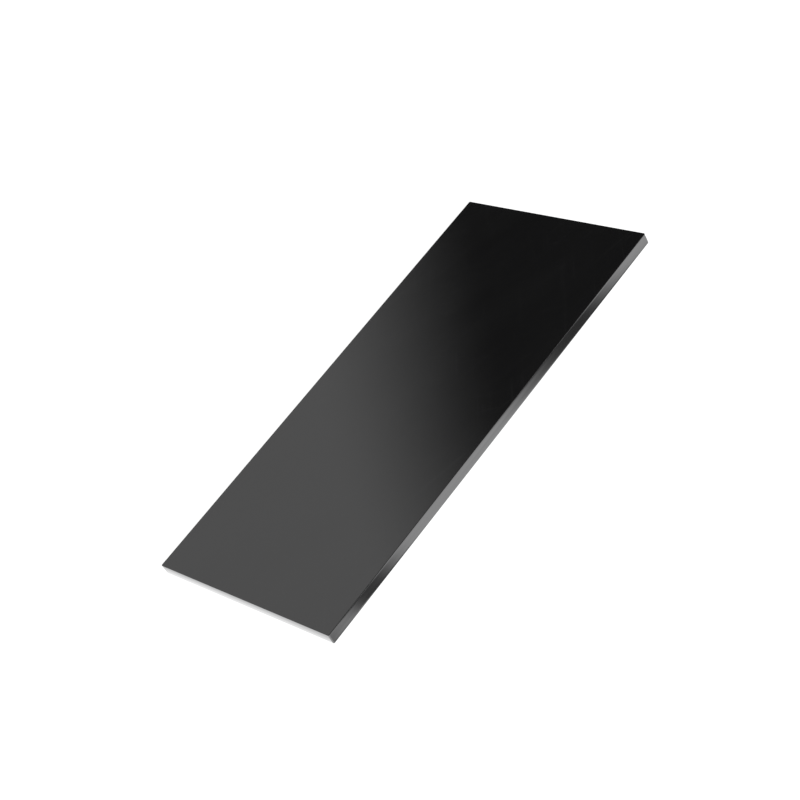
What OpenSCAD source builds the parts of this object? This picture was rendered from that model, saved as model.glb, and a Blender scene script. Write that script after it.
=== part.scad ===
// Self-adhesive kick plate for the foot of a door, gate or cupboard.
// A solid aluminium plate carries a gloss black facing on its front.
// Five strips of double-sided foam tape hold it from behind, each still
// covered by its release liner.
//
// Millimetres. +Z is up the door, +X runs along the plate and the front
// faces -Y. The origin is the centre of the rear bonding plane, y = 0.

/* [Plate] */
// Length along the foot of the door
plate_l = 330; // [250:5:1000]
// Height up the door
plate_h = 150; // [150:5:400]
// Thickness of the aluminium core
core_t = 7.6; // [3:0.1:10]
// Thickness of the gloss black facing
facing_t = 0.4; // [0.3:0.1:1]
// Radius of the four corners, seen from the front
corner_r = 0.8; // [0.5:0.1:6]
// Width of the small flat that breaks the facing's front edges
front_ease = 0.15; // [0.1:0.05:0.25]
// Radius of the core's rounded rear edges
back_round = 0.8; // [0.2:0.1:1.5]

/* [Foam tape] */
// Width of each tape strip
tape_w = 19; // [12:1:25]
// Thickness of the foam tape, with both its adhesive faces
tape_t = 1.1; // [0.8:0.1:2]
// Distance from the plate's edge to the outer tape strips
edge_gap = 6; // [3:1:12]
// Distance between a strip and the next one's end
strip_gap = 4; // [2:1:10]

/* [Release liners] */
// Thickness of each release liner
liner_t = 0.1; // [0.1:0.05:0.3]
// Length of liner left past one end of its tape, to peel it by
tab_l = 8; // [4:1:12]
// Radius of the tab's two corners
tab_r = 2.5; // [0.5:0.5:4]

/* [Hidden] */
$fn = 48;

// Planes across the thickness, from the rear bonding plane forwards
tape_back_y = -liner_t;
core_back_y = tape_back_y - tape_t;
facing_back_y = core_back_y - core_t;

// A liner's length: the outer pair fill the plate between the edge gaps,
// and the inner three stop short of the outer pair or of the side pair
outer_len = plate_l - 2 * edge_gap;
strip_inset = edge_gap + tape_w + strip_gap;
side_len = plate_h - 2 * strip_inset;
middle_len = plate_l - 2 * strip_inset;

// Centre lines of the outer strips
row_z = plate_h / 2 - edge_gap - tape_w / 2;
column_x = plate_l / 2 - edge_gap - tape_w / 2;

// Front outline of the plate: a rectangle with true round corners
module plate_outline() {
    square([plate_l, plate_h - 2 * corner_r], center = true);
    square([plate_l - 2 * corner_r, plate_h], center = true);
    for (sx = [-1, 1], sz = [-1, 1])
        translate([sx * (plate_l / 2 - corner_r), sz * (plate_h / 2 - corner_r)])
            circle(r = corner_r);
}

// Section of the core, w wide, its back on y = 0 with both corners rounded
module core_section(w) {
    translate([-w / 2, -core_t]) square([w, core_t - back_round]);
    translate([-w / 2 + back_round, -core_t]) square([w - 2 * back_round, core_t]);
    for (sx = [-1, 1])
        translate([sx * (w / 2 - back_round), -back_round]) circle(r = back_round);
}

// Section of the facing, w wide, its back on y = 0 and a small flat across
// each front corner
module facing_section(w) {
    polygon([
        [-w / 2, 0],
        [w / 2, 0],
        [w / 2, -facing_t + front_ease],
        [w / 2 - front_ease, -facing_t],
        [-w / 2 + front_ease, -facing_t],
        [-w / 2, -facing_t + front_ease],
    ]);
}

// Sheet of thickness t with the plate's outline, its back on the plane
// y = back_y; the first child is its section along X, the second along Z
module plate_sheet(back_y, t) {
    translate([0, back_y, 0])
        intersection() {
            rotate([90, 0, 0])
                linear_extrude(t) plate_outline();
            linear_extrude(plate_h, center = true)
                children(0);
            rotate([0, 90, 0])
                linear_extrude(plate_l, center = true)
                    children(1);
        }
}

// Front outline of a liner along +X: a strip whose +X end has round corners
module liner_outline(len) {
    translate([-len / 2, -tape_w / 2]) square([len - tab_r, tape_w]);
    translate([-len / 2, -tape_w / 2 + tab_r]) square([len, tape_w - 2 * tab_r]);
    for (sz = [-1, 1])
        translate([len / 2 - tab_r, sz * (tape_w / 2 - tab_r)]) circle(r = tab_r);
}

// Turns a strip that runs along +X into one that runs up, along +Z
module upright() {
    rotate([0, -90, 0]) children();
}

// Tape and liner for a strip along +X; the liner reaches tab_l past the tape
module tape(len) {
    color("dimgray")
        translate([-len / 2, core_back_y, -tape_w / 2])
            cube([len - tab_l, tape_t, tape_w]);
}

module liner(len) {
    color("ivory")
        rotate([90, 0, 0])
            linear_extrude(liner_t) liner_outline(len);
}

module core_plate() {
    color("silver")
        plate_sheet(core_back_y, core_t) {
            core_section(plate_l);
            core_section(plate_h);
        }
}

module black_facing() {
    color([0.04, 0.04, 0.045])
        plate_sheet(facing_back_y, facing_t) {
            facing_section(plate_l);
            facing_section(plate_h);
        }
}

module tape_top() {
    translate([0, 0, row_z]) tape(outer_len);
}

module tape_bottom() {
    translate([0, 0, -row_z]) tape(outer_len);
}

module tape_left() {
    translate([-column_x, 0, 0]) upright() tape(side_len);
}

module tape_right() {
    translate([column_x, 0, 0]) upright() tape(side_len);
}

module tape_middle() {
    tape(middle_len);
}

module liner_top() {
    translate([0, 0, row_z]) liner(outer_len);
}

module liner_bottom() {
    translate([0, 0, -row_z]) liner(outer_len);
}

module liner_left() {
    translate([-column_x, 0, 0]) upright() liner(side_len);
}

module liner_right() {
    translate([column_x, 0, 0]) upright() liner(side_len);
}

module liner_middle() {
    liner(middle_len);
}

core_plate();
black_facing();
tape_top();
tape_bottom();
tape_left();
tape_right();
tape_middle();
liner_top();
liner_bottom();
liner_left();
liner_right();
liner_middle();
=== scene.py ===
"""Kick plate: the looks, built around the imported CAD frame.

Metres and degrees. +Z is up the door, +X along the plate, and the gloss front
faces -Y. Each visible piece stands for one CAD node and lies inside its box.
"""
import math

import bmesh
import bpy
from mathutils import Matrix, Vector, noise


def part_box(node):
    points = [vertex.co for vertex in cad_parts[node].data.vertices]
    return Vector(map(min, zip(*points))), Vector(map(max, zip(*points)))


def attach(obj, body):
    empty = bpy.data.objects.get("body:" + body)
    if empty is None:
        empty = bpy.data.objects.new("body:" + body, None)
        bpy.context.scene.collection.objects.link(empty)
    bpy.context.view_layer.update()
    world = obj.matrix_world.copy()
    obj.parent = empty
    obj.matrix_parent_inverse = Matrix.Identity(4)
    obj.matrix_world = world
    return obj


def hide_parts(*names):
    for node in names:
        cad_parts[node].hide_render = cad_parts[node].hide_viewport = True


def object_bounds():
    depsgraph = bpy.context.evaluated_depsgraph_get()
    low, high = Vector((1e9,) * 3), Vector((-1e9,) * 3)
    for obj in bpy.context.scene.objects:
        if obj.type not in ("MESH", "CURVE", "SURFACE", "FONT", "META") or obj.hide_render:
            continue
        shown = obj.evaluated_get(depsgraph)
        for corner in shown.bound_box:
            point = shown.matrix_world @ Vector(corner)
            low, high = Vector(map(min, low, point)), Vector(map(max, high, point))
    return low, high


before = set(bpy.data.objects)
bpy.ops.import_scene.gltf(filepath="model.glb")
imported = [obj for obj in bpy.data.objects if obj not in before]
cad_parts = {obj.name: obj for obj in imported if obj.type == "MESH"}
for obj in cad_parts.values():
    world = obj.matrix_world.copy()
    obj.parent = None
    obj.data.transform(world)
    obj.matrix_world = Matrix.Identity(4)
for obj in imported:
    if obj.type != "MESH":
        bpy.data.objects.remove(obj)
cad_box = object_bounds()

MM = 0.001

CENTRE = (cad_box[0] + cad_box[1]) / 2
BASE_Z = cad_box[0].z


# ---------------------------------------------------------------- directions

def direction(azimuth, elevation):
    """Unit vector from the plate towards a place in the studio. Azimuth 0 is
    in front of the plate (-Y) and 90 is off its +X end."""
    a, e = math.radians(azimuth), math.radians(elevation)
    return Vector((math.sin(a) * math.cos(e), -math.cos(a) * math.cos(e), math.sin(e)))


# -------------------------------------------------------------------- camera

VIEW_AZIMUTH = 32.27
VIEW_ELEVATION = 42.91
VIEW_ROLL = -106.06         # the plate lies across the picture, not upright
VIEW_DISTANCE = 1.189
AIM_FROM_CENTRE = Vector((0.26, -0.3, -7.37)) * MM
LENS_MM = 86.3
SENSOR_MM = 36.0


def make_camera():
    camera = bpy.data.objects.new("camera", bpy.data.cameras.new("camera"))
    bpy.context.scene.collection.objects.link(camera)
    camera.data.lens = LENS_MM
    camera.data.sensor_width = SENSOR_MM
    back = direction(VIEW_AZIMUTH, VIEW_ELEVATION)
    level = back.to_track_quat("Z", "Y").to_matrix()
    roll = Matrix.Rotation(math.radians(-VIEW_ROLL), 3, "Z")
    turned = (level @ roll).to_4x4()
    turned.translation = CENTRE + AIM_FROM_CENTRE + back * VIEW_DISTANCE
    camera.matrix_world = turned
    bpy.context.scene.camera = camera


# ------------------------------------------------------------- node building

class Graph:
    """Short calls for building a node tree."""

    def __init__(self, tree):
        self.tree = tree
        tree.nodes.clear()

    def add(self, kind, inputs=None, **settings):
        """A node of that kind; inputs maps socket names or numbers to values or sockets."""
        node = self.tree.nodes.new("ShaderNode" + kind)
        for name, value in settings.items():
            setattr(node, name, value)
        for name, value in (inputs or {}).items():
            if isinstance(value, bpy.types.NodeSocket):
                self.tree.links.new(value, node.inputs[name])
            else:
                node.inputs[name].default_value = value
        return node

    def math(self, operation, a, b=0.0, c=0.0):
        return self.add("Math", {0: a, 1: b, 2: c}, operation=operation).outputs[0]

    def soft_step(self, value, start, end, low=0.0, high=1.0):
        """low up to start, high from end on, and a smooth ramp between."""
        inputs = {"Value": value, "From Min": start, "From Max": end, "To Min": low, "To Max": high}
        step = self.add("MapRange", inputs, interpolation_type="SMOOTHSTEP")
        return step.outputs["Result"]

    def mix(self, factor, a, b):
        """The number a where factor is 0, and b where it is 1."""
        return self.add("Mix", {0: factor, 2: a, 3: b}).outputs[0]

    def mix_colour(self, factor, a, b):
        """The colour a where factor is 0, and b where it is 1."""
        node = self.add("Mix", {"Factor": factor}, data_type="RGBA")
        colour_a, colour_b, result = node.inputs[6], node.inputs[7], node.outputs[2]
        for socket, value in ((colour_a, a), (colour_b, b)):
            if isinstance(value, bpy.types.NodeSocket):
                self.tree.links.new(value, socket)
            else:
                socket.default_value = (*value, 1.0)
        return result


# -------------------------------------------------------------------- studio

WHITE = (1, 1, 1, 1)

# In the studio, _Y values are a direction's part along Y and the rest are
# degrees of azimuth or elevation, apart from the levels of brightness.

# the studio in front of the plate, brightest straight ahead
AHEAD_Y, ABREAST_Y = -0.78, -0.50
AHEAD_LEVEL, ABREAST_LEVEL = 1.38, 0.94
# from one elevation to the other it dims to this share of that
DIM_FROM, DIM_FULL, DIM_LEFT = -36.0, -12.0, 0.5
# the studio behind the plate, from the floor up the wall
BACK_FLOOR_LEVEL, BACK_WALL_LEVEL = 0.79, 0.46
BACK_FLOOR_TO, BACK_WALL_FROM = -46.0, -18.0
# where the front becomes the back
FRONT_Y, BACK_Y = -0.45, 0.1
# the ceiling over both
CEILING_LEVEL = 0.38
CEILING_FROM, CEILING_FULL = 4.0, 32.0
# gaps between the ceiling's light panels: where each gap begins to darken,
# is darkest from and to, and is light again, in degrees of azimuth
CEILING_GAPS = (
    (196.0, 199.0, 199.8, 204.6),
    (203.2, 204.1, 204.9, 207.1),
    (211.6, 216.3, 217.2, 219.8),
)
GAP_DARKNESS = 0.9
# the elevations from which the gaps show, and show fully
GAP_FROM, GAP_FULL = 14.0, 26.0

# the black flag that the front mirrors at the picture's angle: a disc that
# is dark within one angle of its centre and gone past the next, and that
# fades out upwards between two elevations
FLAG_CENTRE = direction(-47.87, -14.76)
FLAG_DARK, FLAG_CLEAR = 27.9, 33.7
FLAG_TOP_DARK, FLAG_TOP_CLEAR = -31.0, -19.0
# the soft dark panel that the front mirrors when seen square on
PANEL_CENTRE = direction(-17.0, 0.0)
PANEL_DARK, PANEL_CLEAR = 5.0, 24.0
PANEL_LEVEL = 0.22
# the bright softbox beside that panel
SOFTBOX_CENTRE = direction(17.0, 0.0)
SOFTBOX_FULL, SOFTBOX_CLEAR = 5.0, 22.0
SOFTBOX_LEVEL = 3.2
# the bright card low behind the plate that its +X end mirrors at the picture's angle
CARD_CENTRE = direction(178.0, -45.0)
CARD_FULL, CARD_CLEAR = 4.0, 18.4
CARD_LEVEL = 1.75


def make_world():
    """White to the camera. Everything else sees a white studio with a greyer
    ceiling, the gaps between its panels, two dark flags, a softbox and a card."""
    world = bpy.data.worlds.new("studio")
    bpy.context.scene.world = world
    world.use_nodes = True
    g = Graph(world.node_tree)
    towards = g.add("TexCoord").outputs["Generated"]
    parts = g.add("SeparateXYZ", {0: towards}).outputs
    elevation = g.math("DEGREES", g.math("ARCSINE", parts["Z"]))
    behind = g.math("ARCTAN2", g.math("MULTIPLY", parts["X"], -1.0), parts["Y"])
    azimuth = g.math("ADD", g.math("DEGREES", behind), 180.0)

    def near(centre, full, clear, level):
        """1, but level within full degrees of centre, and a soft edge out to clear."""
        dot = g.add("VectorMath", {0: towards, 1: centre}, operation="DOT_PRODUCT")
        edge, heart = math.cos(math.radians(clear)), math.cos(math.radians(full))
        return g.soft_step(dot.outputs["Value"], edge, heart, 1.0, level)

    back = g.soft_step(elevation, BACK_FLOOR_TO, BACK_WALL_FROM, BACK_FLOOR_LEVEL, BACK_WALL_LEVEL)
    to_back = g.soft_step(parts["Y"], FRONT_Y, BACK_Y)
    front = g.soft_step(parts["Y"], AHEAD_Y, ABREAST_Y, AHEAD_LEVEL, ABREAST_LEVEL)
    front = g.math("MULTIPLY", front, g.soft_step(elevation, DIM_FROM, DIM_FULL, 1.0, DIM_LEFT))
    walls = g.mix(to_back, front, back)
    to_ceiling = g.soft_step(elevation, CEILING_FROM, CEILING_FULL)
    level = g.mix(to_ceiling, walls, CEILING_LEVEL)

    high_up = g.soft_step(elevation, GAP_FROM, GAP_FULL)
    for start, dark_from, dark_to, end in CEILING_GAPS:
        into = g.soft_step(azimuth, start, dark_from)
        out_of = g.soft_step(azimuth, dark_to, end, 1.0, 0.0)
        gap = g.math("MULTIPLY", g.math("MULTIPLY", into, out_of), high_up)
        level = g.math("MULTIPLY", level, g.math("MULTIPLY_ADD", gap, -GAP_DARKNESS, 1.0))

    flag = near(FLAG_CENTRE, FLAG_DARK, FLAG_CLEAR, 0.0)
    flag = g.math("MAXIMUM", flag, g.soft_step(elevation, FLAG_TOP_DARK, FLAG_TOP_CLEAR))
    panel = near(PANEL_CENTRE, PANEL_DARK, PANEL_CLEAR, PANEL_LEVEL)
    softbox = near(SOFTBOX_CENTRE, SOFTBOX_FULL, SOFTBOX_CLEAR, SOFTBOX_LEVEL)
    card = near(CARD_CENTRE, CARD_FULL, CARD_CLEAR, CARD_LEVEL)
    for part in (flag, panel, softbox, card):
        level = g.math("MULTIPLY", level, part)

    studio = g.add("Background", {"Strength": level, "Color": WHITE})
    plain = g.add("Background", {"Strength": 1.0, "Color": WHITE})
    camera_sees = g.add("LightPath").outputs["Is Camera Ray"]
    both = g.add("MixShader", {0: camera_sees, 1: studio.outputs[0], 2: plain.outputs[0]})
    g.add("OutputWorld", {"Surface": both.outputs[0]})


FLOOR_REACH = 30.0
FLOOR_ALBEDO = 0.25
# the floor's own glow near the plate and far from it, and between which
# distances it changes. The dimmer glow near the plate is painted shade round it.
NEAR_GLOW_PAINTED_SHADE, FAR_GLOW = 0.95, 1.1
GLOW_FROM, GLOW_TO = 0.25, 0.9


def make_floor():
    """A pale floor that glows to stay near white, with a soft contact shadow and a dimmer glow near the
    plate that is painted shade round it.
    """
    mesh = bpy.data.meshes.new("floor")
    signs = ((-1, -1), (1, -1), (1, 1), (-1, 1))
    corners = [(sx * FLOOR_REACH, sy * FLOOR_REACH, BASE_Z) for sx, sy in signs]
    mesh.from_pydata(corners, [], [(0, 1, 2, 3)])
    floor = bpy.data.objects.new("floor", mesh)
    bpy.context.scene.collection.objects.link(floor)
    material = bpy.data.materials.new("floor")
    material.use_nodes = True
    g = Graph(material.node_tree)
    where = g.add("TexCoord").outputs["Object"]
    away = g.add("VectorMath", {0: where}, operation="LENGTH").outputs["Value"]
    # dimmer glow near the plate than far off: painted shade round the plate
    strength = g.soft_step(away, GLOW_FROM, GLOW_TO, NEAR_GLOW_PAINTED_SHADE, FAR_GLOW)
    glow = g.add("Emission", {"Strength": strength, "Color": WHITE})
    matt = g.add("BsdfDiffuse", {"Color": (FLOOR_ALBEDO, FLOOR_ALBEDO, FLOOR_ALBEDO, 1)})
    both = g.add("AddShader", {0: glow.outputs[0], 1: matt.outputs[0]})
    g.add("OutputMaterial", {"Surface": both.outputs[0]})
    mesh.materials.append(material)
    floor.visible_glossy = False


# name, azimuth, elevation, distance, size in metres and watts of each soft light
SOFT_LIGHTS = (
    ("key", 60.0, 55.0, 1.2, 0.9, 3.0),
    ("back_fill", 215.0, 35.0, 1.3, 0.7, 4.0),
)


def make_lights():
    for name, azimuth, elevation, distance, size, watts in SOFT_LIGHTS:
        data = bpy.data.lights.new(name, "AREA")
        data.shape = "SQUARE"
        data.size = size
        data.energy = watts
        light = bpy.data.objects.new(name, data)
        bpy.context.scene.collection.objects.link(light)
        away = direction(azimuth, elevation)
        light.location = CENTRE + away * distance
        light.rotation_mode = "QUATERNION"
        light.rotation_quaternion = away.to_track_quat("Z", "Y")
        light.visible_glossy = False


# ----------------------------------------------------------------- materials

def new_material(name):
    material = bpy.data.materials.new(name)
    material.use_nodes = True
    return material, Graph(material.node_tree)


def cells(g, size, turn=0.0):
    """Texture coordinates in cells of that size, in millimetres along X, Y and
    Z (one number for all three), turned by turn degrees about Y."""
    size = size if isinstance(size, tuple) else (size, size, size)
    where = g.add("TexCoord").outputs["Object"]
    scale = tuple(s * MM for s in size)
    inputs = {"Vector": where, "Scale": scale, "Rotation": (0, math.radians(turn), 0)}
    return g.add("Mapping", inputs, vector_type="TEXTURE").outputs["Vector"]


def grain(g, size, turn=0.0, detail=2.0, roughness=0.5):
    """Soft noise from 0 to 1 whose cells have that size."""
    inputs = {"Vector": cells(g, size, turn), "Scale": 1.0, "Detail": detail, "Roughness": roughness}
    return g.add("TexNoise", inputs).outputs["Fac"]


def bump(g, height, depth, under=None):
    """Relief of that depth in metres where height goes from 0 to 1."""
    inputs = {"Height": height, "Distance": depth, "Strength": 1.0}
    if under is not None:
        inputs["Normal"] = under
    return g.add("Bump", inputs).outputs["Normal"]


def surface(g, **inputs):
    """A Principled shader with those inputs, as the material's surface."""
    names = {key: key.replace("_", " ").title().replace("Ior", "IOR") for key in inputs}
    shader = g.add("BsdfPrincipled", {names[key]: value for key, value in inputs.items()})
    g.add("OutputMaterial", {"Surface": shader.outputs[0]})


def rougher(g, base, *rises):
    """base, plus each rise's amount where its mask is 1."""
    total = base
    for mask, amount in rises:
        total = g.math("MULTIPLY_ADD", mask, amount, total)
    return total


HAIRLINE_EDGE = 0.04


def hairlines(g, turn, across, along, rarity):
    """1 on sparse, thin, nearly straight scratches, 0 between them."""
    lines = grain(g, (along, across, across), turn, detail=0.0)
    return g.soft_step(lines, rarity, rarity + HAIRLINE_EDGE)


def scratches(g, sets):
    """1 on any of several sets of hairlines."""
    found = 0.0
    for turn, across, along, rarity in sets:
        found = g.math("MAXIMUM", found, hairlines(g, turn, across, along, rarity))
    return found


# Sizes of cells and scratches are in millimetres. A set of scratches is its
# turn in degrees, its widths across and along, and its rarity.

GLOSS_BLACK, WIPED_BLACK = (0.0083, 0.0083, 0.0085), (0.0102, 0.0102, 0.0104)
GLOSS_SCRATCHED = (0.03, 0.03, 0.0305)
PEEL_CELL = 3.4
PEEL_DEPTH = 0.0016 * MM
WIPE_CELL, WIPE_TURN = (110, 35, 35), 24
GLOSS_SCRATCHES = ((17, 0.5, 60, 0.765), (-38, 0.6, 45, 0.775), (58, 0.55, 38, 0.775))


def black_gloss():
    """Deep gloss black: a trace of orange peel, faint wiping marks and a few hairlines."""
    material, g = new_material("black_gloss")
    peel = grain(g, PEEL_CELL, detail=1.0)
    wiped = grain(g, WIPE_CELL, WIPE_TURN, detail=3.0)
    scratched = scratches(g, GLOSS_SCRATCHES)
    rough = rougher(g, 0.03, (g.soft_step(wiped, 0.35, 0.75), 0.03), (scratched, 0.05))
    tone = g.mix_colour(g.soft_step(wiped, 0.3, 0.8), GLOSS_BLACK, WIPED_BLACK)
    tone = g.mix_colour(g.math("MULTIPLY", scratched, 0.2), tone, GLOSS_SCRATCHED)
    surface(g, base_color=tone, roughness=rough, ior=1.5, normal=bump(g, peel, PEEL_DEPTH))
    return material


TRIM_DARK, TRIM_LIGHT = (0.008, 0.008, 0.008), (0.024, 0.024, 0.025)
TRIM_SCORE = (2.5, 0.4, 2.5)
TRIM_DEPTH = 0.004 * MM


def trimmed_black():
    """The facing's trimmed edge: the same black, duller and finely scored."""
    material, g = new_material("black_gloss_trimmed")
    scored = grain(g, TRIM_SCORE)
    tone = g.mix_colour(scored, TRIM_DARK, TRIM_LIGHT)
    surface(g, base_color=tone, roughness=0.28, ior=1.5, normal=bump(g, scored, TRIM_DEPTH))
    return material


GROUND_DARK, GROUND_LIGHT = (0.56, 0.56, 0.565), (0.71, 0.71, 0.715)
GROUND_STREAK = (0.54, 0.54, 0.545)
GROUND_DEPTH = 0.0005 * MM
LONG_EDGE_LINE, SHORT_EDGE_LINE = (70, 0.4, 0.4), (0.4, 0.4, 70)
BROAD_LINES = 3
GROUND_CLOUD = 22


def ground_metal(name, line):
    """Aluminium ground in one direction; line is one grinding line's size."""
    material, g = new_material(name)
    fine = grain(g, line, detail=3.0, roughness=0.6)
    broad = grain(g, tuple(BROAD_LINES * s for s in line), detail=1.0)
    cloud = grain(g, GROUND_CLOUD, detail=2.0)
    tone = g.mix_colour(fine, GROUND_DARK, GROUND_LIGHT)
    tone = g.mix_colour(g.soft_step(broad, 0.35, 0.65, 0.0, 0.45), tone, GROUND_STREAK)
    rough = rougher(g, 0.03, (broad, 0.03), (cloud, 0.02))
    surface(g, base_color=tone, metallic=1.0, roughness=rough, normal=bump(g, fine, GROUND_DEPTH))
    return material


MILL_DARK, MILL_LIGHT = (0.47, 0.47, 0.475), (0.72, 0.72, 0.725)
MILL_BAND, MILL_BLOTCH = (0.76, 0.76, 0.765), (0.46, 0.46, 0.465)
ROLLED_LINE, ROLLED_BAND, BLOTCH = (140, 1, 1.1), (420, 9, 9), 36
ROLLED_DEPTH = 0.004 * MM
MILL_SCRATCHES = ((33, 0.7, 40, 0.73), (-52, 0.6, 30, 0.75))


def mill_back():
    """The plate's bare rear: rolling lines along it, blotches and light handling marks."""
    material, g = new_material("aluminium_mill")
    rolled = grain(g, ROLLED_LINE, detail=4.0, roughness=0.65)
    bands = grain(g, ROLLED_BAND, detail=2.0)
    blotch = grain(g, BLOTCH, detail=4.0)
    marks = scratches(g, MILL_SCRATCHES)
    tone = g.mix_colour(g.soft_step(rolled, 0.25, 0.75), MILL_DARK, MILL_LIGHT)
    tone = g.mix_colour(g.soft_step(bands, 0.35, 0.7, 0.0, 0.3), tone, MILL_BAND)
    tone = g.mix_colour(g.soft_step(blotch, 0.4, 0.8, 0.0, 0.3), tone, MILL_BLOTCH)
    rough = rougher(g, 0.18, (rolled, 0.16), (blotch, 0.14), (marks, -0.1))
    surface(g, base_color=tone, metallic=1.0, roughness=rough, normal=bump(g, rolled, ROLLED_DEPTH))
    return material


FOAM_DARK, FOAM_LIGHT = (0.05, 0.05, 0.052), (0.12, 0.12, 0.123)
FOAM_CLOUDED = (0.085, 0.085, 0.09)
PORE, PORE_DEPTH = 0.35, 0.08 * MM
FOAM_CLOUD = 8


def foam():
    """Closed-cell foam, cut clean: dark grey with fine open cells."""
    material, g = new_material("foam_tape")
    pores = g.add("TexVoronoi", {"Vector": cells(g, PORE), "Scale": 1.0}).outputs["Distance"]
    cloud = grain(g, FOAM_CLOUD)
    tone = g.mix_colour(pores, FOAM_DARK, FOAM_LIGHT)
    tone = g.mix_colour(g.soft_step(cloud, 0.3, 0.7, 0.0, 0.4), tone, FOAM_CLOUDED)
    surface(g, base_color=tone, roughness=0.72, normal=bump(g, pores, PORE_DEPTH))
    return material


PAPER_DARK, PAPER_LIGHT = (0.62, 0.605, 0.565), (0.72, 0.705, 0.665)
PAPER_MOTTLED = (0.6, 0.58, 0.53)
FIBRE, FIBRE_TURN, FIBRE_DEPTH = (2.2, 0.5, 0.5), 35, 0.006 * MM
MOTTLE = 6
WAVE, WAVE_DEPTH = 22, 0.05 * MM


def liner_paper():
    """Siliconed release paper: off-white, with fibres, faint mottling and a low sheen."""
    material, g = new_material("release_liner")
    fibres = grain(g, FIBRE, FIBRE_TURN, detail=3.0)
    mottle = grain(g, MOTTLE, detail=3.0)
    waves = grain(g, WAVE, detail=1.0)
    tone = g.mix_colour(fibres, PAPER_DARK, PAPER_LIGHT)
    tone = g.mix_colour(g.soft_step(mottle, 0.35, 0.75, 0.0, 0.35), tone, PAPER_MOTTLED)
    normal = bump(g, fibres, FIBRE_DEPTH, bump(g, waves, WAVE_DEPTH))
    surface(g, base_color=tone, roughness=rougher(g, 0.34, (mottle, 0.12)), ior=1.45, normal=normal)
    return material


# -------------------------------------------------------------------- pieces

SHARP_ANGLE = 40.0
# how far the larger faces win over the smaller ones where normals meet
FACE_WEIGHT = 100


def finish_piece(bm, node, slot, materials):
    """Turns a bmesh into the piece that stands for a CAD node."""
    name = node + "_detail"
    bmesh.ops.recalc_face_normals(bm, faces=bm.faces)
    mesh = bpy.data.meshes.new(name)
    bm.to_mesh(mesh)
    bm.free()
    for material in materials:
        mesh.materials.append(material)
    mesh.polygons.foreach_set("use_smooth", [True] * len(mesh.polygons))
    mesh.set_sharp_from_angle(angle=math.radians(SHARP_ANGLE))
    piece = bpy.data.objects.new(name, mesh)
    bpy.context.scene.collection.objects.link(piece)
    weighted = piece.modifiers.new("weighted", "WEIGHTED_NORMAL")
    weighted.keep_sharp = True
    weighted.weight = FACE_WEIGHT
    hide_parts(node)
    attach(piece, "root")


CORNER_RADIUS = 0.8 * MM
LEAST_RADIUS = 0.05 * MM
CORNER_STEPS = 7


def rounded_outline(half_x, half_z, inset):
    """Points round the plate's outline, moved inwards by inset."""
    radius = max(CORNER_RADIUS - inset, LEAST_RADIUS)
    points = []
    for corner, (sx, sz) in enumerate(((1, 1), (-1, 1), (-1, -1), (1, -1))):
        cx = sx * (half_x - inset - radius)
        cz = sz * (half_z - inset - radius)
        for step in range(CORNER_STEPS + 1):
            turn = math.radians(90) * (corner + step / CORNER_STEPS)
            points.append((cx + radius * math.cos(turn), cz + radius * math.sin(turn)))
    return points


BACKWARDS, FORWARDS = 1, -1


def round_over(radius, y_face, outwards, steps):
    """(inset, y) pairs from a face that looks outwards round to the sheet's side."""
    pairs = []
    for step in range(steps + 1):
        turn = math.radians(90) * step / steps
        pairs.append((radius * (1 - math.sin(turn)), y_face - outwards * radius * (1 - math.cos(turn))))
    return pairs


def plate_sheet(node, profile, pick_material, end_crown=0.0, **finish):
    """A sheet with the plate's outline whose side follows profile, from back to
    front. Its two short ends bulge by end_crown at half the thickness."""
    low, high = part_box(node)
    middle, half = (low + high) / 2, (high - low) / 2
    bm = bmesh.new()
    rings = []
    for inset, y in profile:
        drop = end_crown * ((y - middle.y) / half.y) ** 2
        outline = rounded_outline(half.x - drop, half.z, inset)
        rings.append([bm.verts.new((x, y, z)) for x, z in outline])
    for ring, after in zip(rings, rings[1:]):
        for i in range(len(ring)):
            j = (i + 1) % len(ring)
            bm.faces.new((ring[i], ring[j], after[j], after[i]))
    bm.faces.new(rings[0])
    bm.faces.new(rings[-1][::-1])
    bmesh.ops.recalc_face_normals(bm, faces=bm.faces)
    for face in bm.faces:
        face.material_index = pick_material(face.normal)
    finish_piece(bm, node, **finish)


CORE_BACK_ROUND, CORE_BACK_STEPS = 0.8 * MM, 6
CORE_FRONT_ROUND, CORE_FRONT_STEPS = 0.06 * MM, 2
CORE_END_CROWN = 0.1 * MM
CORE_SIDE_RINGS = 8
FACING_BACK_ROUND, FACING_BACK_STEPS = 0.03 * MM, 1
FACING_FRONT_ROUND, FACING_FRONT_STEPS = 0.15 * MM, 4
# a face counts as the back or the front when its normal's Y is past these
LOOKS_BACK, LOOKS_FORWARD = 0.9, -0.3


def make_core():
    low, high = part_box("core_plate")
    back = round_over(CORE_BACK_ROUND, high.y, BACKWARDS, CORE_BACK_STEPS)
    front = round_over(CORE_FRONT_ROUND, low.y, FORWARDS, CORE_FRONT_STEPS)
    from_y, to_y = back[-1][1], front[-1][1]
    step_y = (to_y - from_y) / CORE_SIDE_RINGS
    between = [(0.0, from_y + step_y * i) for i in range(1, CORE_SIDE_RINGS)]
    profile = back + between + front[::-1]
    materials = [
        mill_back(),
        ground_metal("aluminium_long_edge", LONG_EDGE_LINE),
        ground_metal("aluminium_short_edge", SHORT_EDGE_LINE),
    ]

    def pick(normal):
        if normal.y > LOOKS_BACK:
            return 0
        return 1 if abs(normal.z) > abs(normal.x) else 2

    plate_sheet("core_plate", profile, pick, CORE_END_CROWN, slot="aluminium", materials=materials)


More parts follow.
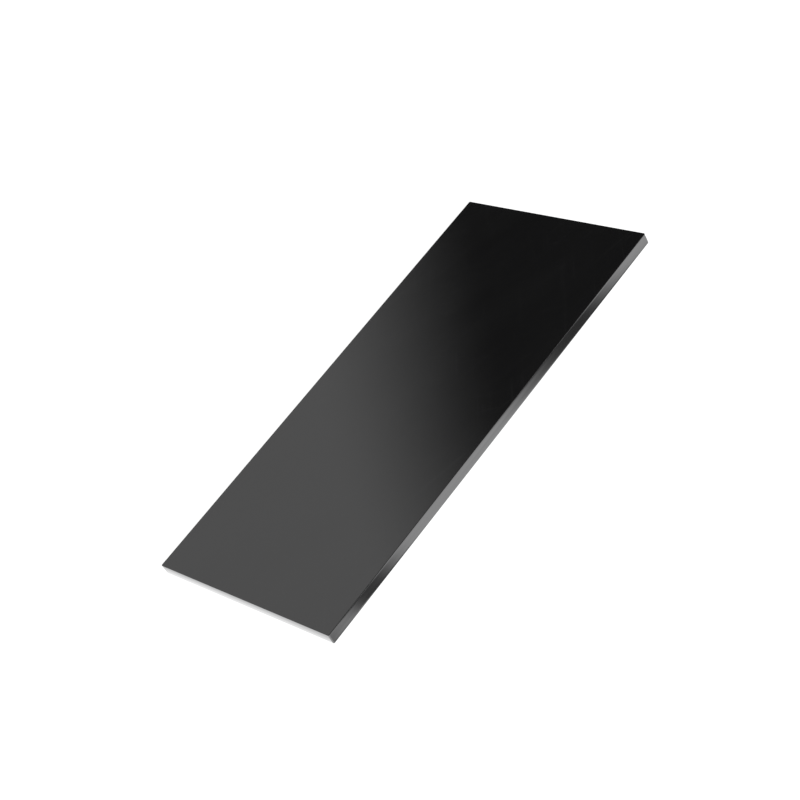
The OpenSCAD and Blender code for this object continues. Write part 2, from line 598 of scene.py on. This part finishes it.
def make_facing():
    low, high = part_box("black_facing")
    back = round_over(FACING_BACK_ROUND, high.y, BACKWARDS, FACING_BACK_STEPS)
    front = round_over(FACING_FRONT_ROUND, low.y, FORWARDS, FACING_FRONT_STEPS)
    materials = [black_gloss(), trimmed_black()]

    def pick(normal):
        return 0 if normal.y < LOOKS_FORWARD else 1

    plate_sheet("black_facing", back + front[::-1], pick, slot="black_gloss", materials=materials)


class Strip:
    """The run of one tape or liner: along its length, across it and through it."""

    def __init__(self, node):
        self.low, self.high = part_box(node)
        self.upright = self.high.z - self.low.z > self.high.x - self.low.x
        along = 2 if self.upright else 0
        across = 0 if self.upright else 2
        self.length = self.high[along] - self.low[along]
        self.half = (self.high[across] - self.low[across]) / 2
        self.thick = self.high.y - self.low.y
        self.start = self.low[along]
        self.middle = (self.low[across] + self.high[across]) / 2

    def point(self, s, w, depth):
        """s along from the start, w across from the middle line, depth in from the back."""
        along, across, y = self.start + s, self.middle + w, self.high.y - depth
        return (across, y, along) if self.upright else (along, y, across)


FOAM_STEP = 1.5 * MM
FOAM_LEAST_STEPS = 4
FOAM_LAYERS = 5
FOAM_NECK = 0.10 * MM
FOAM_WAVER, FOAM_WAVER_LENGTH = 0.12 * MM, 9 * MM
# how far apart in the noise the two sides, the layers and, per metre between
# their middle lines, the strips lie, so that each one wavers in its own way
SIDE_APART, LAYER_APART, TAPES_APART, LINERS_APART = 7.3, 0.35, 90, 70


def make_tape(node, material):
    """A strip of foam. Its cut sides are necked in and not quite straight."""
    strip = Strip(node)
    steps = max(FOAM_LEAST_STEPS, round(strip.length / FOAM_STEP))
    bm = bmesh.new()
    rings = []
    for i in range(steps + 1):
        s = strip.length * i / steps
        ring = []
        for side in (1, -1):
            layers = range(FOAM_LAYERS + 1) if side == 1 else range(FOAM_LAYERS, -1, -1)
            for layer in layers:
                depth = strip.thick * layer / FOAM_LAYERS
                place = side * SIDE_APART + layer * LAYER_APART
                seed = Vector((s / FOAM_WAVER_LENGTH, place, strip.middle * TAPES_APART))
                waver = FOAM_WAVER * (0.5 + 0.5 * noise.noise(seed))
                neck = FOAM_NECK * math.sin(math.pi * layer / FOAM_LAYERS)
                w = side * (strip.half - waver - neck)
                ring.append(bm.verts.new(strip.point(s, w, depth)))
        rings.append(ring)
    for ring, after in zip(rings, rings[1:]):
        for i in range(len(ring)):
            j = (i + 1) % len(ring)
            bm.faces.new((ring[i], ring[j], after[j], after[i]))
    for end in (rings[0], rings[-1]):
        for k in range(FOAM_LAYERS):
            bm.faces.new((end[k], end[k + 1], end[-2 - k], end[-1 - k]))
    finish_piece(bm, node, "foam_tape", [material])


LINER_STEP = 2.0 * MM
LINER_COLUMNS = 8
LINER_CORNER, LINER_CORNER_STEPS = 2.5 * MM, 6
LINER_RIPPLE, RIPPLE_LENGTH, RIPPLE_WIDTH = 0.03 * MM, 14 * MM, 11 * MM
TAB_LENGTH = 8 * MM
# how far the tab's tip curls in, and how much more or less at its two sides
TAB_CURL, TAB_SKEW = 0.75 * MM, 0.25


def liner_half_width(strip, s):
    """Half the liner's width at s: its peel tab has rounded corners."""
    left = strip.length - s
    if left >= LINER_CORNER:
        return strip.half
    drop = LINER_CORNER - left
    return strip.half - LINER_CORNER + math.sqrt(max(LINER_CORNER**2 - drop**2, 0.0))


def liner_depth(strip, s, w):
    """How far the liner's outer face lies in from the back: ripples, and the curling tab."""
    seed = Vector((s / RIPPLE_LENGTH, w / RIPPLE_WIDTH, strip.middle * LINERS_APART))
    ripple = LINER_RIPPLE * (0.5 + 0.5 * noise.noise(seed))
    past = max(0.0, s - (strip.length - TAB_LENGTH)) / TAB_LENGTH
    skew = 1 + TAB_SKEW * w / strip.half
    return ripple + TAB_CURL * past**2 * skew


def liner_stops(strip):
    """Places along a liner: even steps, then closer ones round the tab's corners."""
    straight = strip.length - LINER_CORNER
    count = round(straight / LINER_STEP)
    stops = [straight * i / count for i in range(count + 1)]
    for step in range(1, LINER_CORNER_STEPS + 1):
        turn = math.radians(90) * step / LINER_CORNER_STEPS
        stops.append(strip.length - LINER_CORNER * (1 - math.sin(turn)))
    return stops


def make_liner(node, material):
    """A thin sheet of release paper with a curling, round-cornered peel tab."""
    strip = Strip(node)
    stops = liner_stops(strip)
    rows, columns = len(stops), LINER_COLUMNS + 1
    bm = bmesh.new()

    def sheet_row(s, below):
        """Points across the liner at s, below its outer face by that much."""
        half = liner_half_width(strip, s)
        widths = [half * (2 * k / LINER_COLUMNS - 1) for k in range(columns)]
        return [bm.verts.new(strip.point(s, w, liner_depth(strip, s, w) + below)) for w in widths]

    outer = [sheet_row(s, 0.0) for s in stops]
    inner = [sheet_row(s, strip.thick) for s in stops]
    for grid in (outer, inner):
        for i in range(rows - 1):
            for k in range(columns - 1):
                bm.faces.new((grid[i][k], grid[i][k + 1], grid[i + 1][k + 1], grid[i + 1][k]))
    rim = [(i, 0) for i in range(rows)]
    rim += [(rows - 1, k) for k in range(1, columns)]
    rim += [(i, columns - 1) for i in range(rows - 2, -1, -1)]
    rim += [(0, k) for k in range(columns - 2, 0, -1)]
    for (i, k), (j, m) in zip(rim, rim[1:] + rim[:1]):
        bm.faces.new((outer[i][k], outer[j][m], inner[j][m], inner[i][k]))
    finish_piece(bm, node, "release_liner", [material])


def make_pieces():
    make_core()
    make_facing()
    foam_material, liner_material = foam(), liner_paper()
    for place in ("top", "bottom", "left", "right", "middle"):
        make_tape("tape_" + place, foam_material)
        make_liner("liner_" + place, liner_material)


# -------------------------------------------------------------------- making

bpy.context.scene.view_settings.view_transform = "Standard"
make_camera()
make_world()
make_floor()
make_lights()
make_pieces()
